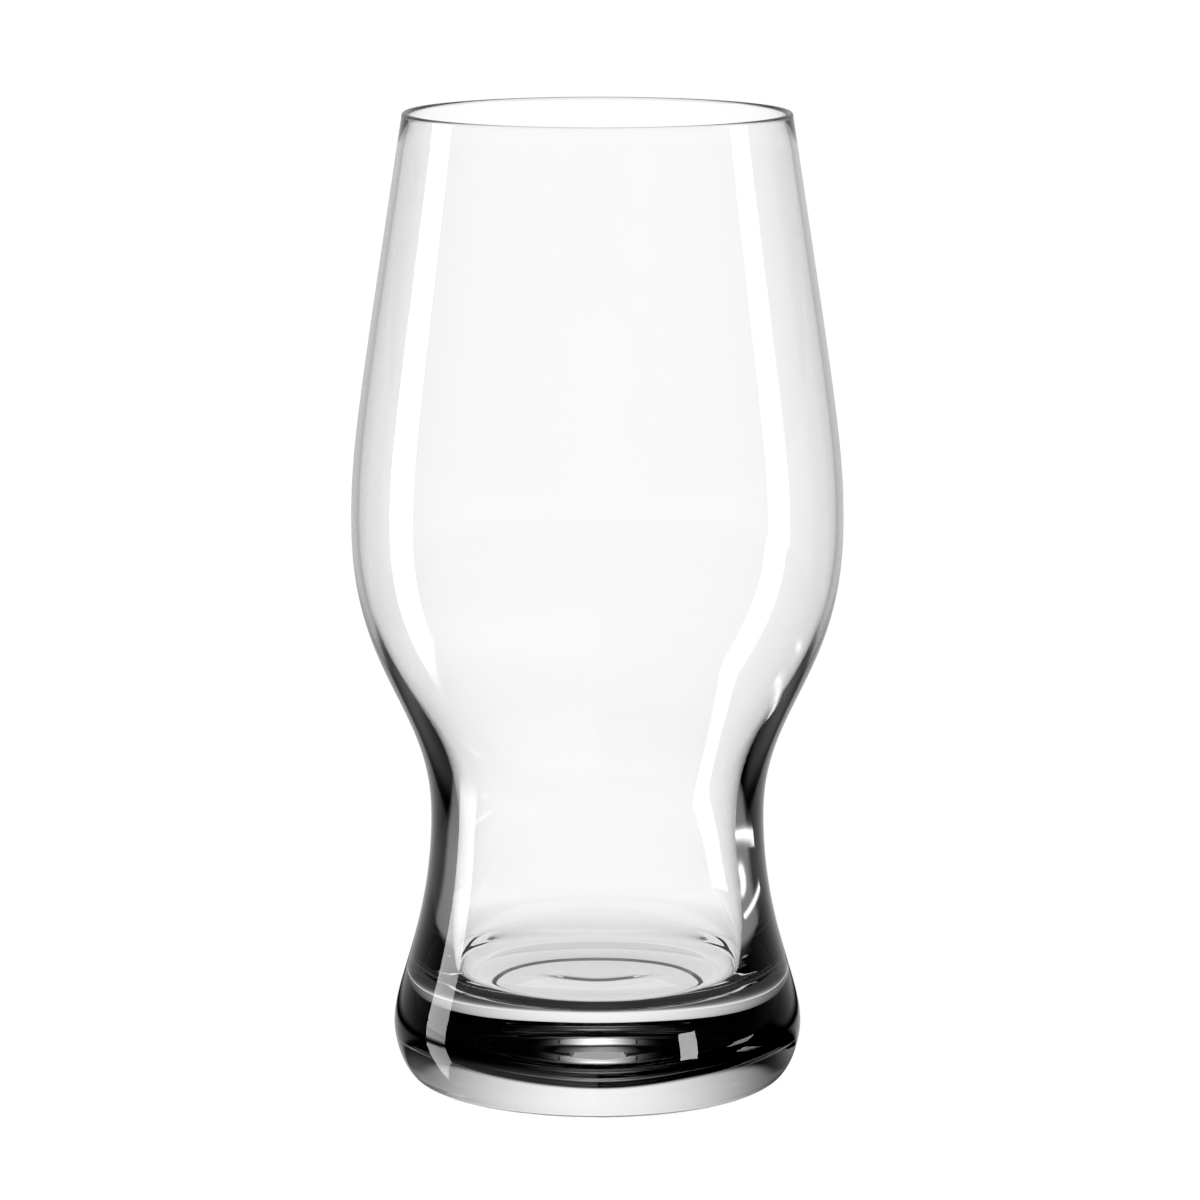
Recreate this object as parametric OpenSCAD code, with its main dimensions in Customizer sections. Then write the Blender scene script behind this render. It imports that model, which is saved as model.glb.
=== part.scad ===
// Weizen glass with a bulbous bowl, a pinched waist and a heavy base, turned about Z.
// One wall profile is drawn from the sizes below and cut level into four sections that sit face to face.

/* [Outside] */
// Height from the table to the top of the lip
glass_h = 175; // [165:1:195]
// Diameter over the lip
lip_d = 69.3; // [62:0.1:78]
// Lean of the wall at the lip, in degrees from upright
lip_lean = 8.7; // [4:0.1:12]
// Diameter at the belly, the widest part of the bowl
belly_d = 88; // [82:0.5:94]
// Height of the belly
belly_z = 101.5; // [92:0.5:110]
// Diameter at the narrowest part of the waist
waist_d = 59.9; // [58:0.1:66]
// Height of the narrowest part of the waist
waist_z = 48.9; // [44:0.1:54]
// Diameter at the heel, the widest part of the base
heel_d = 73.6; // [68:0.1:80]
// Height of the heel
heel_z = 10.7; // [8:0.1:13]
// Outer diameter of the ring that stands on the table
foot_d = 60.8; // [58:0.1:66]

/* [Inside] */
// Thickness of the wall at the lip
lip_wall = 1.2; // [0.9:0.1:2]
// Thickness of the wall at the belly
belly_wall = 1.3; // [0.9:0.1:2.5]
// Thickness of the wall from the waist to the narrowest part of the bore
waist_wall = 4.55; // [3.5:0.05:6]
// Height of the narrowest part of the bore, which widens up to the belly and a little down to the floor
bore_z = 44; // [38:0.5:48]
// How much wider the bore's radius is where it meets the corner of the floor
floor_flare = 1.5; // [0:0.1:2.5]
// Height of the floor, from the table
floor_z = 17; // [13:0.5:21]
// Radius of the corner between the floor and the bore
floor_corner_r = 5; // [2:0.5:8]

/* [Underside] */
// Width of the flat ring that stands on the table
foot_ring_w = 8.6; // [6:0.1:11]
// Width of the slope from that ring up to the flat top of the hollow
punt_slope_w = 1.8; // [1:0.1:4]
// Depth of the hollow under the base
punt_depth = 1; // [0.5:0.1:3]

/* [Sections] */
// Height where the waist section meets the bowl section
bowl_start_z = 70; // [60:1:80]
// Height of the lip section
rim_h = 4; // [2:0.5:8]

/* [Hidden] */
$fn = 128;
// Colour of the clear glass
glass_tint = [0.9, 0.94, 0.95, 0.45];
// Straight steps in each curve of the profile
curve_steps = 14;
// How far a cut runs past the face that it opens
overrun = 5;

// Pulls of the curve from the foot to the heel: out along the table, then up to the heel
foot_pull_shares = [0.67, 0.37];
// Pulls of the other curves, as shares of the height between the two circles that each one joins
heel_pull_shares = [0.19, 0.52];
shoulder_pull_shares = [0.38, 0.52];
bowl_pull_shares = [0.185, 0.7];
bore_pull_shares = [0.43, 0.51];
flare_pull_shares = [0.36, 0.36];

foot_r = foot_d / 2;
heel_r = heel_d / 2;
waist_r = waist_d / 2;
belly_r = belly_d / 2;
lip_r = lip_d / 2;
bore_r = waist_r - waist_wall;
belly_inner_r = belly_r - belly_wall;
lip_inner_r = lip_r - lip_wall;
flare_r = bore_r + floor_flare;
floor_r = flare_r - floor_corner_r;
// Height where the floor's corner runs into the bore, and where the base section meets the waist section
corner_top_z = floor_z + floor_corner_r;
// Height of the centre of the rounded lip
lip_z = glass_h - lip_wall / 2;
rim_start_z = glass_h - rim_h;
punt_r = foot_r - foot_ring_w;
punt_top_r = punt_r - punt_slope_w;
// Radius halfway down the slope of the hollow
punt_mid_r = (punt_r + punt_top_r) / 2;

// A point on a smooth curve from a to d, pulled towards b and c
function curve_point(a, b, c, d, t) =
    a * pow(1 - t, 3) + b * 3 * t * pow(1 - t, 2) + c * 3 * t * t * (1 - t) + d * pow(t, 3);

// The curve's points, without its end, which is the next curve's start
function curve(a, b, c, d) =
    [for (i = [0 : curve_steps - 1]) curve_point(a, b, c, d, i / curve_steps)];

// A curve that is upright at both ends, from one circle of the glass to another
function upright_curve(r1, z1, r2, z2, pull_shares) =
    curve([r1, z1], [r1, z1 + pull_shares[0] * (z2 - z1)], [r2, z2 - pull_shares[1] * (z2 - z1)], [r2, z2]);

// The curve from the belly up to the leaning lip, for the outer or the inner face
function lip_curve(r1, r2) =
    let (rise = lip_z - belly_z, lean_h = bowl_pull_shares[1] * rise)
    curve([r1, belly_z], [r1, belly_z + bowl_pull_shares[0] * rise],
        [r2 + lean_h * tan(lip_lean), lip_z - lean_h], [r2, lip_z]);

foot_curve = curve([foot_r, 0], [foot_r + foot_pull_shares[0] * (heel_r - foot_r), 0],
    [heel_r, heel_z - foot_pull_shares[1] * heel_z], [heel_r, heel_z]);
heel_curve = upright_curve(heel_r, heel_z, waist_r, waist_z, heel_pull_shares);
shoulder_curve = upright_curve(waist_r, waist_z, belly_r, belly_z, shoulder_pull_shares);
flare_curve = upright_curve(flare_r, corner_top_z, bore_r, bore_z, flare_pull_shares);
bore_curve = upright_curve(bore_r, bore_z, belly_inner_r, belly_z, bore_pull_shares);
punt_curve = curve([punt_top_r, punt_depth], [punt_mid_r, punt_depth], [punt_mid_r, 0], [punt_r, 0]);

// Half profile of the glass as if it were solid, up to the centre of the lip
module outside() {
    polygon(concat([[0, 0]], foot_curve, heel_curve, shoulder_curve, lip_curve(belly_r, lip_r),
        [[lip_r, lip_z], [0, lip_z]]));
}

// Half profile of the space for the drink, with its rounded floor corner
module cavity() {
    polygon(concat([[0, floor_z], [floor_r, floor_z]], flare_curve, bore_curve,
        lip_curve(belly_inner_r, lip_inner_r),
        [[lip_inner_r, lip_z], [lip_inner_r, lip_z + overrun], [0, lip_z + overrun]]));
    translate([floor_r, corner_top_z]) circle(r = floor_corner_r);
}

// Half profile of the shallow hollow that leaves only a ring to stand on
module punt() {
    polygon(concat([[0, punt_depth]], punt_curve, [[punt_r, 0], [punt_r, -overrun], [0, -overrun]]));
}

// Half profile of the whole wall, with its lip melted round
module wall() {
    difference() {
        outside();
        cavity();
        punt();
    }
    translate([lip_r - lip_wall / 2, lip_z]) circle(d = lip_wall);
}

// The part of the glass between two levels
module section(low_z, high_z) {
    color(glass_tint) rotate_extrude() intersection() {
        wall();
        translate([0, low_z]) square([belly_d, high_z - low_z]);
    }
}

// Solid disc with the floor and its corner, the heel, the standing ring and the punt
module base() {
    section(0, corner_top_z);
}

// Thick grip wall round the bore
module waist() {
    section(corner_top_z, bowl_start_z);
}

// Thin bulbous wall
module bowl() {
    section(bowl_start_z, rim_start_z);
}

// Last of the wall, with the round lip
module rim() {
    section(rim_start_z, glass_h);
}

base();
waist();
bowl();
rim();
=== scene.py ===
import math

import bmesh
import bpy
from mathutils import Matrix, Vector


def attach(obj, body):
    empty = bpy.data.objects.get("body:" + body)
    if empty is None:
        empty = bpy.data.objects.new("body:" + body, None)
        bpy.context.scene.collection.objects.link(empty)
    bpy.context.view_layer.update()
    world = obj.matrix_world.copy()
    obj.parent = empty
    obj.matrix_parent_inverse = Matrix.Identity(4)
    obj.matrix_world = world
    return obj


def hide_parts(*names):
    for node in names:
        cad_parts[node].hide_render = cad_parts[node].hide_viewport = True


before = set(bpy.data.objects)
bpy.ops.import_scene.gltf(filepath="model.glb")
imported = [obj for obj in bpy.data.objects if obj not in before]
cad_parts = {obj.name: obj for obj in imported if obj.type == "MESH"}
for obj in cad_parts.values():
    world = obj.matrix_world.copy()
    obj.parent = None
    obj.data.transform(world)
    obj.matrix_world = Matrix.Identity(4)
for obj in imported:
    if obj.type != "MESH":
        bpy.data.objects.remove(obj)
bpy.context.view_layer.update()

# Sizes of the glass in metres, as in the CAD model
MM = 0.001
GLASS_H = 175 * MM
LIP_R = 69.3 / 2 * MM
LIP_LEAN = math.radians(8.7)
BELLY_R = 44 * MM
BELLY_Z = 101.5 * MM
WAIST_R = 59.9 / 2 * MM
WAIST_Z = 48.9 * MM
HEEL_R = 73.6 / 2 * MM
HEEL_Z = 10.7 * MM
FOOT_R = 60.8 / 2 * MM
LIP_WALL = 1.2 * MM
BELLY_WALL = 1.3 * MM
WAIST_WALL = 4.55 * MM
BORE_Z = 44 * MM
FLOOR_FLARE = 1.5 * MM
FLOOR_Z = 17 * MM
FLOOR_CORNER_R = 5 * MM
FOOT_RING_W = 8.6 * MM
PUNT_SLOPE_W = 1.8 * MM
PUNT_DEPTH = 1 * MM

LIP_INNER_R = LIP_R - LIP_WALL
LIP_Z = GLASS_H - LIP_WALL / 2
BELLY_INNER_R = BELLY_R - BELLY_WALL
BORE_R = WAIST_R - WAIST_WALL
FLARE_R = BORE_R + FLOOR_FLARE
FLOOR_R = FLARE_R - FLOOR_CORNER_R
CORNER_TOP_Z = FLOOR_Z + FLOOR_CORNER_R
PUNT_R = FOOT_R - FOOT_RING_W
PUNT_TOP_R = PUNT_R - PUNT_SLOPE_W

# Pulls of the curves, as shares of what each curve spans
FOOT_PULL_SHARES = (0.67, 0.37)
HEEL_PULL_SHARES = (0.19, 0.52)
SHOULDER_PULL_SHARES = (0.38, 0.52)
BOWL_PULL_SHARES = (0.185, 0.7)
BORE_PULL_SHARES = (0.43, 0.51)
FLARE_PULL_SHARES = (0.36, 0.36)

# Fineness of the mesh
AROUND = 192
CURVE_STEPS = 28
ARC_STEPS = 14
PUNT_RINGS = 40
FLOOR_RINGS = 12

# The scar of the shears under the base
SCAR_HALF_LENGTH = 11 * MM
SCAR_HALF_WIDTH = 2 * MM
SCAR_Y = 4 * MM
SCAR_WAVE = 1.5 * MM
SCAR_WAVES = 3
SCAR_DEPTH = 0.2 * MM
SCAR_MARGIN = 1 * MM

# The glass itself
GLASS_IOR = 1.52
LIP_ROUGHNESS = 0.3
LIP_SOFT_START = GLASS_H - 1.2 * MM
LIP_SOFT_END = GLASS_H - 0.2 * MM
RIPPLE_SCALE = 55
RIPPLE_DETAIL = 1
RIPPLE_DEPTH = 0.04 * MM


def curve(a, b, c, d):
    """Points of a smooth curve from a to d, pulled towards b and c, without its end."""
    points = []
    for i in range(CURVE_STEPS):
        t = i / CURVE_STEPS
        u = 1 - t
        weights = (u ** 3, 3 * t * u * u, 3 * t * t * u, t ** 3)
        points.append(tuple(sum(w * p[k] for w, p in zip(weights, (a, b, c, d))) for k in (0, 1)))
    return points


def upright(r1, z1, r2, z2, pull_shares):
    """A curve that is upright at both ends, from one circle of the glass to another."""
    rise = z2 - z1
    return curve((r1, z1), (r1, z1 + pull_shares[0] * rise), (r2, z2 - pull_shares[1] * rise), (r2, z2))


def lip_curve(r1, r2):
    """The curve from the belly to the leaning lip."""
    rise = LIP_Z - BELLY_Z
    lean_h = BOWL_PULL_SHARES[1] * rise
    belly_pull = (r1, BELLY_Z + BOWL_PULL_SHARES[0] * rise)
    lip_pull = (r2 + lean_h * math.tan(LIP_LEAN), LIP_Z - lean_h)
    return curve((r1, BELLY_Z), belly_pull, lip_pull, (r2, LIP_Z))


def arc(centre, radius, start, end):
    """Points of a circular arc, in degrees, without its end."""
    points = []
    for i in range(ARC_STEPS):
        a = math.radians(start + (end - start) * i / ARC_STEPS)
        points.append((centre[0] + radius * math.cos(a), centre[1] + radius * math.sin(a)))
    return points


def underside():
    """The hollow under the base and half of the ring that stands on the table."""
    points = [(PUNT_TOP_R * i / PUNT_RINGS, PUNT_DEPTH) for i in range(PUNT_RINGS)]
    middle = (PUNT_TOP_R + PUNT_R) / 2
    points += curve((PUNT_TOP_R, PUNT_DEPTH), (middle, PUNT_DEPTH), (middle, 0), (PUNT_R, 0))
    return points + [(PUNT_R, 0), ((PUNT_R + FOOT_R) / 2, 0)]


def outside():
    """The outer face, from the table to the lip."""
    foot_pull = (FOOT_R + FOOT_PULL_SHARES[0] * (HEEL_R - FOOT_R), 0)
    heel_pull = (HEEL_R, HEEL_Z - FOOT_PULL_SHARES[1] * HEEL_Z)
    points = curve((FOOT_R, 0), foot_pull, heel_pull, (HEEL_R, HEEL_Z))
    points += upright(HEEL_R, HEEL_Z, WAIST_R, WAIST_Z, HEEL_PULL_SHARES)
    points += upright(WAIST_R, WAIST_Z, BELLY_R, BELLY_Z, SHOULDER_PULL_SHARES)
    return points + lip_curve(BELLY_R, LIP_R)


def cavity():
    """The inner face, from the lip down to the middle of the floor."""
    wall = upright(BORE_R, BORE_Z, BELLY_INNER_R, BELLY_Z, BORE_PULL_SHARES)
    wall += lip_curve(BELLY_INNER_R, LIP_INNER_R)
    flare = upright(FLARE_R, CORNER_TOP_Z, BORE_R, BORE_Z, FLARE_PULL_SHARES)
    points = [(LIP_INNER_R, LIP_Z)] + wall[::-1] + flare[:0:-1]
    points += arc((FLOOR_R, CORNER_TOP_Z), FLOOR_CORNER_R, 0, -90)
    return points + [(FLOOR_R * (FLOOR_RINGS - i) / FLOOR_RINGS, FLOOR_Z) for i in range(FLOOR_RINGS + 1)]


def profile():
    """The glass wall's section, from the middle of the hollow round to the middle of the floor."""
    lip = arc((LIP_R - LIP_WALL / 2, LIP_Z), LIP_WALL / 2, 0, 180)
    return underside() + outside() + lip + cavity()


def put_in_scene(name, data):
    """A new object with the given data."""
    thing = bpy.data.objects.new(name, data)
    bpy.context.collection.objects.link(thing)
    return thing


def lathe(name, points):
    """A closed mesh of revolution about Z, whose first and last points lie on the axis."""
    bm = bmesh.new()
    turn = [2 * math.pi * k / AROUND for k in range(AROUND)]
    rings = []
    for r, z in points:
        if r == 0:
            rings.append([bm.verts.new((0, 0, z))])
        else:
            rings.append([bm.verts.new((r * math.cos(a), r * math.sin(a), z)) for a in turn])
    for low, high in zip(rings, rings[1:]):
        for k in range(AROUND):
            n = (k + 1) % AROUND
            corners = [low[k % len(low)], low[n % len(low)], high[n % len(high)], high[k % len(high)]]
            face = bm.faces.new(list(dict.fromkeys(corners)))
            face.smooth = True
    bmesh.ops.recalc_face_normals(bm, faces=bm.faces)
    mesh = bpy.data.meshes.new(name)
    bm.to_mesh(mesh)
    bm.free()
    return put_in_scene(name, mesh)


def shear_mark(piece):
    """The scar of the shears that cut the hot glass, a shallow dent across the underside."""
    for vertex in piece.data.vertices:
        x, y, z = vertex.co
        if z > 2 * PUNT_DEPTH or math.hypot(x, y) > PUNT_TOP_R - SCAR_MARGIN:
            continue
        along = x / SCAR_HALF_LENGTH
        across = (y - SCAR_Y + SCAR_WAVE * math.cos(SCAR_WAVES * along)) / SCAR_HALF_WIDTH
        vertex.co.z += SCAR_DEPTH * math.exp(-across ** 2 - along ** 4)


class Sums:
    """Writes sums as shader nodes in one node tree. Values are sockets or numbers."""

    def __init__(self, tree):
        self.tree = tree

    def put(self, value, socket):
        if isinstance(value, (int, float)):
            socket.default_value = value
        else:
            self.tree.links.new(value, socket)

    def maths(self, operation, *values):
        node = self.tree.nodes.new("ShaderNodeMath")
        node.operation = operation
        for value, socket in zip(values, node.inputs):
            self.put(value, socket)
        return node.outputs[0]

    def times(self, first, *others):
        for other in others:
            first = self.maths("MULTIPLY", first, other)
        return first

    def plus(self, first, *others):
        for other in others:
            first = self.maths("ADD", first, other)
        return first

    def less(self, first, second):
        """The first without the second."""
        return self.maths("SUBTRACT", first, second)

    def rest(self, value):
        """What is left of 1."""
        return self.less(1, value)

    def below(self, value, limit):
        """1 where the value is under the limit, and else 0."""
        return self.maths("LESS_THAN", value, limit)

    def fewer(self, number, limit):
        """1 where a whole number is under the limit, and else 0."""
        return self.below(number, limit - 0.5)

    def rise(self, value, start, end):
        """Goes smoothly from 0 at the start to 1 at the end."""
        node = self.tree.nodes.new("ShaderNodeMapRange")
        node.interpolation_type = "SMOOTHSTEP"
        self.put(value, node.inputs["Value"])
        node.inputs["From Min"].default_value = start
        node.inputs["From Max"].default_value = end
        return node.outputs[0]

    def fall(self, value, start, end):
        """Goes smoothly from 1 at the start to 0 at the end."""
        return self.rest(self.rise(value, start, end))

    def hump(self, value, centre, width):
        """A bell curve, 1 at its centre."""
        share = self.maths("DIVIDE", self.less(value, centre), width)
        return self.maths("EXPONENT", self.times(share, share, -0.5))

    def band(self, value, start, end, edge):
        """1 between the start and the end, with soft edges."""
        begun = self.rise(value, start - edge, start + edge)
        return self.times(begun, self.fall(value, end - edge, end + edge))

    def split(self, vector):
        node = self.tree.nodes.new("ShaderNodeSeparateXYZ")
        self.tree.links.new(vector, node.inputs[0])
        return node.outputs


def glass_material():
    """Clear colourless glass, with slight ripples in its thick part and a softer lip."""
    material = bpy.data.materials.new("clear_glass")
    material.use_nodes = True
    tree = material.node_tree
    sums = Sums(tree)
    shader = tree.nodes["Principled BSDF"]
    shader.inputs["Base Color"].default_value = (1, 1, 1, 1)
    shader.inputs["IOR"].default_value = GLASS_IOR
    shader.inputs["Transmission Weight"].default_value = 1
    place = tree.nodes.new("ShaderNodeTexCoord").outputs["Object"]
    height = sums.split(place)["Z"]
    roughness = sums.times(sums.rise(height, LIP_SOFT_START, LIP_SOFT_END), LIP_ROUGHNESS)
    tree.links.new(roughness, shader.inputs["Roughness"])
    ripple = tree.nodes.new("ShaderNodeTexNoise")
    ripple.inputs["Scale"].default_value = RIPPLE_SCALE
    ripple.inputs["Detail"].default_value = RIPPLE_DETAIL
    tree.links.new(place, ripple.inputs["Vector"])
    thick = sums.fall(height, WAIST_Z, BELLY_Z)
    bump = tree.nodes.new("ShaderNodeBump")
    bump.inputs["Distance"].default_value = RIPPLE_DEPTH
    tree.links.new(sums.times(ripple.outputs[0], thick), bump.inputs["Height"])
    tree.links.new(bump.outputs[0], shader.inputs["Normal"])
    return material


glass = lathe("glass", profile())
shear_mark(glass)
glass.data.materials.append(glass_material())
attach(glass, "root")
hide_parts("base", "waist", "bowl", "rim")

# The studio. Angles run from straight behind the glass to the right.
# A pair named START or END is where a change begins and where it is complete.

# The room: such a pair is the upward part of a direction of length 1
THROUGH_LEVEL = 1.105
THROUGH_END = (0.1, 0.3)
PANEL_LEVEL = 0.98
PANEL_SPREAD = math.radians(27)
PANEL_TOP_SLOPE = math.tan(math.radians(21))
PANEL_EDGE = 0.025
PANEL_TURNED_SHARE = 0.86
SIDE_ANGLES = (math.radians(-90), math.radians(135))
SIDE_SPREAD = math.radians(13)
SIDE_END = (0.3, 0.4)
SKY_LEVEL = 0.8
SKY_START = (0.5, 0.7)
CEILING_LEVEL = 0.55
CEILING_INSIDE_LEVEL = 0.4
CEILING_START = (0.3, 0.5)
TOP_LIGHT_LEVEL = 1.8
TOP_LIGHT_Y = -0.16
TOP_LIGHT_SPREADS = (0.106, 0.09)
TOP_LIGHT_START = (0, 0.2)
ECHO_LEVEL = 0.9
ECHO_END = (0.6, 0.8)
ROOM_LEVEL = 0.008
SCATTERED_LEVEL = 0.2

# The table: such a pair is a distance from the axis in metres, unless it is named for angles
TABLE_HALF_WIDTH = 20
TABLE_GAP = 0.1 * MM
TABLE_CAMERA_LEVEL = 0.96
TABLE_PAINT = 0.3
TABLE_LEAST_LEVEL = 0.03
FOOT_SHADE = 0.22
FOOT_SHADE_END = (0.05, 0.12)
BENT_LEVEL = 0.9
BENT_START = (0.055, 0.16)
BENT_ROUND_START = (0.16, 0.26)
BENT_FAR_EXTRA = 0.15
BENT_FAR_START = (0.5, 1.0)
DIM_LEVEL = 0.22
DIM_START = (0.06, 0.08)
DIM_START_ANGLES = (math.radians(38), math.radians(48))
OPEN_LEVEL = 0.84
OPEN_START = (0.19, 0.28)

# Two painted caustics, arcs of light on the table that show as white hooks in the right wall of the waist
PAINTED_CAUSTIC_LEVEL = 2
HOOK_ARC_R = 0.127
HOOK_ARC_WIDTH = 0.005
HOOK_ARC_ANGLES = (math.radians(29), math.radians(62))
HOOK_ARC_EDGE = 0.02
HOOK_SPOT_R = 0.182
HOOK_SPOT_WIDTH = 0.006
HOOK_SPOT_ANGLE = math.radians(55)
HOOK_SPOT_SPREAD = math.radians(3)

# The table's mirror, and its glow to rays that the glass mirrors
POLISH = 0.8
POLISH_ROUGHNESS = 0.06
POLISH_NEAR_END = (0.075, 0.095)
POLISH_FAR_START = (0.1, 0.165)
POLISH_END_ANGLES = (math.radians(60), math.radians(70))
FOOT_GLOW_LEVEL = 1.4
FOOT_GLOW_END = (0.0315, 0.0335)

# The stripe of light on the table. Its middle line bends between two values of x, and turns at a third.
STRIPE_LEVEL = 3.5
STRIPE_START = (0.075, 0.095)
STRIPE_END = (0.75, 0.85)
STRIPE_HALF_WIDTH_SHARE = 0.125
STRIPE_EDGE = 0.001
STRIPE_BEND_XS = (0.04, 0.13)
STRIPE_BEND_Y = -0.046
STRIPE_TURN_X = 0.2
STRIPE_TURN_SLOPE = 0.072
# A ray from the heel runs low: it is little longer than the way along the table
LOW_RAY_START_R = 0.033
LOW_RAY_RATIO = 1.06
LOW_RAY_END_R = 0.22

# A reach that takes in every ray between the glass and a card
FAR_REACH = 2


def ray_kinds(sums):
    """1 or 0 for each kind of ray, by how often it was refracted (bent) and reflected (turned).

    camera: seen straight
    through: bent four times or more and never turned, as through both walls of the bowl
    bent: bent up to three times and never turned
    diffuse: scattered by the table
    mirrored: turned, but never bent
    inside: turned once or twice and bent once or twice
    echo: turned three to six times and bent four times or more
    deep: turned seven times or more
    turned: turned up to four times and no echo, so that it takes in mirrored and inside
    """
    path = sums.tree.nodes.new("ShaderNodeLightPath").outputs
    turns = path["Glossy Depth"]
    bends = path["Transmission Depth"]
    unturned = sums.fewer(turns, 1)
    unbent = sums.fewer(bends, 1)
    crossed = sums.rest(sums.fewer(bends, 4))
    direct = sums.times(path["Is Transmission Ray"], unturned)
    once_or_twice = sums.times(sums.rest(unturned), sums.fewer(turns, 3))
    up_to_six = sums.fewer(turns, 7)
    kinds = {
        "camera": path["Is Camera Ray"],
        "through": sums.times(direct, crossed),
        "bent": sums.times(direct, sums.rest(crossed)),
        "diffuse": path["Is Diffuse Ray"],
        "echo": sums.times(sums.rest(sums.fewer(turns, 3)), up_to_six, crossed),
    }
    others = sums.rest(sums.plus(*kinds.values()))
    kinds["turned"] = sums.times(others, sums.fewer(turns, 5))
    kinds["mirrored"] = sums.times(path["Is Glossy Ray"], unbent)
    kinds["inside"] = sums.times(once_or_twice, sums.rest(unbent), sums.fewer(bends, 3))
    kinds["deep"] = sums.rest(up_to_six)
    return kinds


def ray_length(sums):
    """How far the ray has come since it was last bent or turned."""
    return sums.tree.nodes.new("ShaderNodeLightPath").outputs["Ray Length"]


def make_world():
    """A dark room with a low lit panel behind the glass. The camera sees plain white."""
    world = bpy.data.worlds.new("studio")
    bpy.context.scene.world = world
    world.use_nodes = True
    tree = world.node_tree
    sums = Sums(tree)
    kinds = ray_kinds(sums)
    x, y, z = sums.split(tree.nodes.new("ShaderNodeTexCoord").outputs["Generated"])
    azimuth = sums.maths("ARCTAN2", x, y)
    over_top = sums.less(z, sums.times(y, PANEL_TOP_SLOPE))
    under_top = sums.fall(over_top, -PANEL_EDGE, PANEL_EDGE)
    panel = sums.times(sums.hump(azimuth, 0, PANEL_SPREAD), under_top, PANEL_LEVEL)
    sides = sums.plus(*[sums.hump(azimuth, angle, SIDE_SPREAD) for angle in SIDE_ANGLES])
    sides = sums.times(sides, sums.fall(z, *SIDE_END), PANEL_LEVEL)
    sky = sums.times(sums.rise(z, *SKY_START), SKY_LEVEL)
    ceiling = sums.rise(z, *CEILING_START)
    top_x = sums.hump(x, 0, TOP_LIGHT_SPREADS[0])
    top_y = sums.hump(y, TOP_LIGHT_Y, TOP_LIGHT_SPREADS[1])
    level = sums.plus(
        kinds["camera"],
        sums.times(kinds["through"], sums.fall(z, *THROUGH_END), THROUGH_LEVEL),
        sums.times(kinds["bent"], sums.plus(panel, sides, sky)),
        sums.times(kinds["turned"], sums.plus(sums.times(panel, PANEL_TURNED_SHARE), ROOM_LEVEL)),
        sums.times(kinds["deep"], top_x, top_y, sums.rise(z, *TOP_LIGHT_START), TOP_LIGHT_LEVEL),
        sums.times(kinds["echo"], sums.fall(z, *ECHO_END), ECHO_LEVEL),
        sums.times(kinds["mirrored"], ceiling, CEILING_LEVEL),
        sums.times(kinds["inside"], ceiling, CEILING_INSIDE_LEVEL),
        sums.times(kinds["diffuse"], SCATTERED_LEVEL),
    )
    background = tree.nodes["Background"]
    background.inputs["Color"].default_value = (1, 1, 1, 1)
    tree.links.new(level, background.inputs["Strength"])


def bare_material(name):
    """A material with no shader yet."""
    material = bpy.data.materials.new(name)
    material.use_nodes = True
    material.node_tree.nodes.remove(material.node_tree.nodes["Principled BSDF"])
    return material


def emission(tree, strength):
    """A white glow."""
    glow = tree.nodes.new("ShaderNodeEmission")
    tree.links.new(strength, glow.inputs["Strength"])
    return glow.outputs[0]


def together(tree, first, second):
    """Two shaders added up."""
    node = tree.nodes.new("ShaderNodeAddShader")
    tree.links.new(first, node.inputs[0])
    tree.links.new(second, node.inputs[1])
    return node.outputs[0]


def painted_caustic_hooks(sums, distance, azimuth):
    """The two painted caustics, glowing arcs of light on the table that show as white hooks in the glass."""
    ring = sums.hump(distance, HOOK_ARC_R, HOOK_ARC_WIDTH)
    ring = sums.times(ring, sums.band(azimuth, *HOOK_ARC_ANGLES, HOOK_ARC_EDGE))
    spot = sums.hump(distance, HOOK_SPOT_R, HOOK_SPOT_WIDTH)
    spot = sums.times(spot, sums.hump(azimuth, HOOK_SPOT_ANGLE, HOOK_SPOT_SPREAD))
    return sums.times(sums.plus(ring, spot), PAINTED_CAUSTIC_LEVEL)


def table_level(sums, kinds, distance, azimuth):
    """How bright the table is to each kind of ray. Through the glass it gets darker towards the foot."""
    ahead = sums.hump(azimuth, 0, PANEL_SPREAD)
    clear = sums.less(THROUGH_LEVEL, sums.times(sums.fall(distance, *FOOT_SHADE_END), FOOT_SHADE))
    bent_level = sums.plus(BENT_LEVEL, sums.times(sums.rise(distance, *BENT_FAR_START), BENT_FAR_EXTRA))
    lit_side = sums.maths("MAXIMUM", ahead, sums.rise(distance, *BENT_ROUND_START))
    bent = sums.times(sums.rise(distance, *BENT_START), lit_side, bent_level)
    off_axis = sums.maths("ABSOLUTE", azimuth)
    dim = sums.times(sums.rise(distance, *DIM_START), sums.rise(off_axis, *DIM_START_ANGLES), DIM_LEVEL)
    open_table = sums.times(sums.rise(distance, *OPEN_START), ahead, OPEN_LEVEL)
    # Painted caustics: glowing arcs on the table that stand in for light the glass would focus there
    hooks = painted_caustic_hooks(sums, distance, azimuth)
    return sums.plus(
        sums.times(kinds["camera"], TABLE_CAMERA_LEVEL),
        sums.times(kinds["through"], clear),
        sums.times(kinds["bent"], sums.plus(bent, TABLE_LEAST_LEVEL)),
        sums.times(kinds["turned"], sums.plus(dim, open_table, hooks, TABLE_LEAST_LEVEL)),
        sums.times(kinds["echo"], ECHO_LEVEL),
    )


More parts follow.
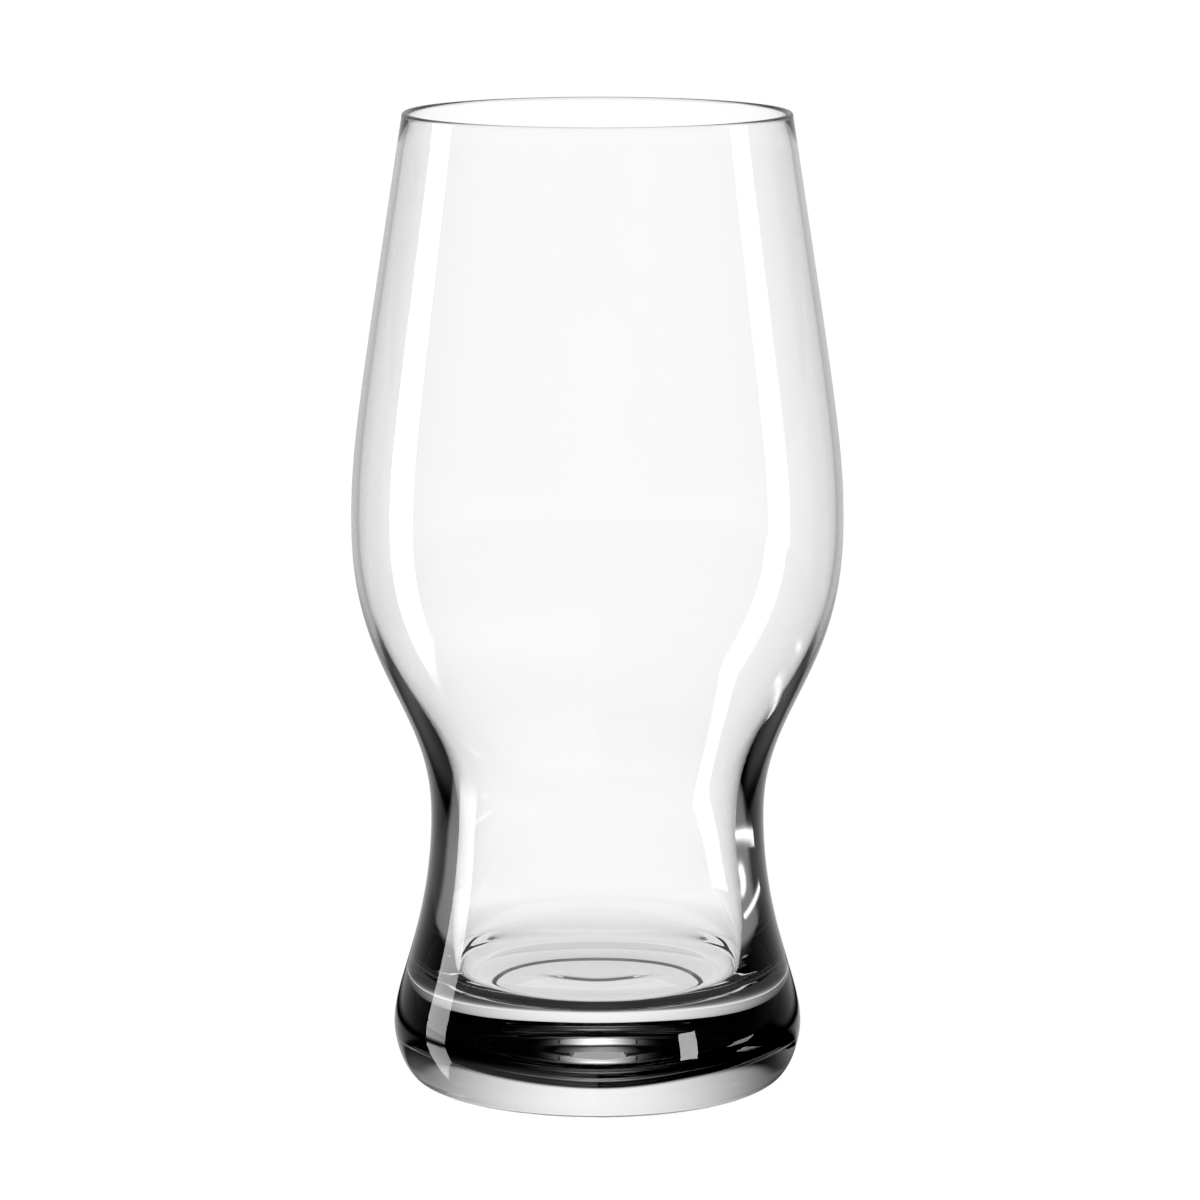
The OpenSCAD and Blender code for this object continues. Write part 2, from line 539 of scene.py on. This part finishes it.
def table_stripe(sums, x, y, distance):
    """The stripe to the right that the bowl mirrors as its light strip, hidden from the heel's low rays."""
    beyond_turn = sums.maths("MAXIMUM", sums.less(x, STRIPE_TURN_X), 0)
    bend = sums.times(sums.rise(x, *STRIPE_BEND_XS), STRIPE_BEND_Y)
    middle = sums.plus(sums.times(beyond_turn, STRIPE_TURN_SLOPE), bend)
    aside = sums.maths("ABSOLUTE", sums.less(y, middle))
    within = sums.less(sums.times(x, STRIPE_HALF_WIDTH_SHARE), aside)
    stripe = sums.times(
        sums.rise(within, -STRIPE_EDGE, STRIPE_EDGE),
        sums.rise(distance, *STRIPE_START),
        sums.fall(distance, *STRIPE_END),
    )
    low_length = sums.times(sums.less(distance, LOW_RAY_START_R), LOW_RAY_RATIO)
    low = sums.times(sums.below(ray_length(sums), low_length), sums.below(distance, LOW_RAY_END_R))
    return sums.times(stripe, sums.rest(low), STRIPE_LEVEL)


def table_polish(sums, distance, azimuth):
    """How strongly the table mirrors: round the foot and further out, but not on the right."""
    rings = sums.plus(sums.fall(distance, *POLISH_NEAR_END), sums.rise(distance, *POLISH_FAR_START))
    return sums.times(rings, sums.fall(azimuth, *POLISH_END_ANGLES), POLISH)


def table_material():
    """A white table top, glossy to the rays that the glass mirrors. It carries the shadow."""
    material = bare_material("white_table")
    tree = material.node_tree
    sums = Sums(tree)
    kinds = ray_kinds(sums)
    place = sums.split(tree.nodes.new("ShaderNodeNewGeometry").outputs["Position"])
    x = place["X"]
    y = place["Y"]
    distance = sums.maths("SQRT", sums.plus(sums.times(x, x), sums.times(y, y)))
    azimuth = sums.maths("ARCTAN2", x, y)
    glow = emission(tree, table_level(sums, kinds, distance, azimuth))
    paint = tree.nodes.new("ShaderNodeBsdfDiffuse")
    tree.links.new(sums.times(kinds["camera"], TABLE_PAINT), paint.inputs["Color"])
    # Painted light: a glow on the table just round the foot, which the heel mirrors as white
    painted_foot_glow = sums.times(sums.fall(distance, *FOOT_GLOW_END), FOOT_GLOW_LEVEL)
    streak = emission(tree, sums.plus(table_stripe(sums, x, y, distance), painted_foot_glow))
    gloss = tree.nodes.new("ShaderNodeBsdfGlossy")
    gloss.inputs["Roughness"].default_value = POLISH_ROUGHNESS
    tree.links.new(table_polish(sums, distance, azimuth), gloss.inputs["Color"])
    both = tree.nodes.new("ShaderNodeMixShader")
    tree.links.new(kinds["mirrored"], both.inputs["Fac"])
    tree.links.new(together(tree, glow, paint.outputs[0]), both.inputs[1])
    tree.links.new(together(tree, gloss.outputs[0], streak), both.inputs[2])
    tree.links.new(both.outputs[0], tree.nodes["Material Output"].inputs["Surface"])
    return material


def make_floor():
    """The table top, just under the glass."""
    bm = bmesh.new()
    bmesh.ops.create_grid(bm, x_segments=1, y_segments=1, size=TABLE_HALF_WIDTH)
    mesh = bpy.data.meshes.new("floor")
    bm.to_mesh(mesh)
    bm.free()
    floor = put_in_scene("floor", mesh)
    floor.location.z = -TABLE_GAP
    floor.data.materials.append(table_material())


def card_material(name, level, reach):
    """A glow that only mirrored rays up to a length can see. To all other rays it is clear."""
    material = bare_material(name)
    material.cycles.emission_sampling = "NONE"
    tree = material.node_tree
    sums = Sums(tree)
    near = sums.below(ray_length(sums), reach)
    glow = emission(tree, sums.times(ray_kinds(sums)["mirrored"], near, level))
    clear = tree.nodes.new("ShaderNodeBsdfTransparent").outputs[0]
    tree.links.new(together(tree, glow, clear), tree.nodes["Material Output"].inputs["Surface"])
    return material


def card(name, place, width, low, highs, level, reach):
    """An upright strip of light that faces the glass, with a height for each of its sides."""
    mesh = bpy.data.meshes.new(name)
    side = Vector((-place[1], place[0], 0)).normalized() * width / 2
    middle = Vector((place[0], place[1], 0))
    ends = ((-1, low), (1, low), (1, highs[1]), (-1, highs[0]))
    corners = [middle + side * a + Vector((0, 0, z)) for a, z in ends]
    mesh.from_pydata([tuple(c) for c in corners], [], [(0, 1, 2, 3)])
    mesh.materials.append(card_material(name, level, reach))
    board = put_in_scene(name, mesh)


def lamp(name, place, target, width, height, radiance):
    """A softbox at one place that faces another, seen by nothing but the table's paint."""
    data = bpy.data.lights.new(name, "AREA")
    data.shape = "RECTANGLE"
    data.size = width
    data.size_y = height
    data.energy = radiance * math.pi * width * height
    box = put_in_scene(name, data)
    box.location = place
    box.rotation_euler = (Vector(target) - Vector(place)).to_track_quat("-Z", "Y").to_euler()
    box.visible_camera = False
    box.visible_glossy = False
    box.visible_transmission = False


make_world()
make_floor()
card("left_card", place=(-0.615, 0.118), width=0.19, low=0, highs=(0.45, 0.26), level=5, reach=FAR_REACH)
card("right_card", place=(0.175, -0.0215), width=0.041, low=0.077, highs=(0.3, 0.3), level=4, reach=FAR_REACH)
card("heel_card", place=(0.0636, -0.0694), width=0.0146, low=0, highs=(0.028, 0.028), level=9, reach=0.0645)
lamp("overhead", place=(0, -0.45, 0.89), target=(0, 0, 0), width=0.3, height=0.17, radiance=1.2)

# Camera at the photograph's viewing angle
VIEW_ELEVATION = math.radians(9.3565)
VIEW_DISTANCE = 1.0459
VIEW_FOCAL_PX = 5835.7
FRAME_PX = 1200
AIM_X = 0.47 * MM
SENSOR_W = 36

camera_data = bpy.data.cameras.new("camera")
camera_data.sensor_width = SENSOR_W
camera_data.lens = VIEW_FOCAL_PX * SENSOR_W / FRAME_PX
camera = put_in_scene("camera", camera_data)
aim = Vector((AIM_X, 0, GLASS_H / 2))
back = Vector((0, -math.cos(VIEW_ELEVATION), math.sin(VIEW_ELEVATION)))
camera.location = aim + back * VIEW_DISTANCE
camera.rotation_euler = (-back).to_track_quat("-Z", "Y").to_euler()
bpy.context.scene.camera = camera

# Light passes through many faces. Fewer reflections keep the thick base dark.
THROUGH_BOUNCES = 32
MIRROR_BOUNCES = 13
bpy.context.scene.view_settings.view_transform = "Standard"
bpy.context.scene.cycles.max_bounces = THROUGH_BOUNCES
bpy.context.scene.cycles.transmission_bounces = THROUGH_BOUNCES
bpy.context.scene.cycles.glossy_bounces = MIRROR_BOUNCES
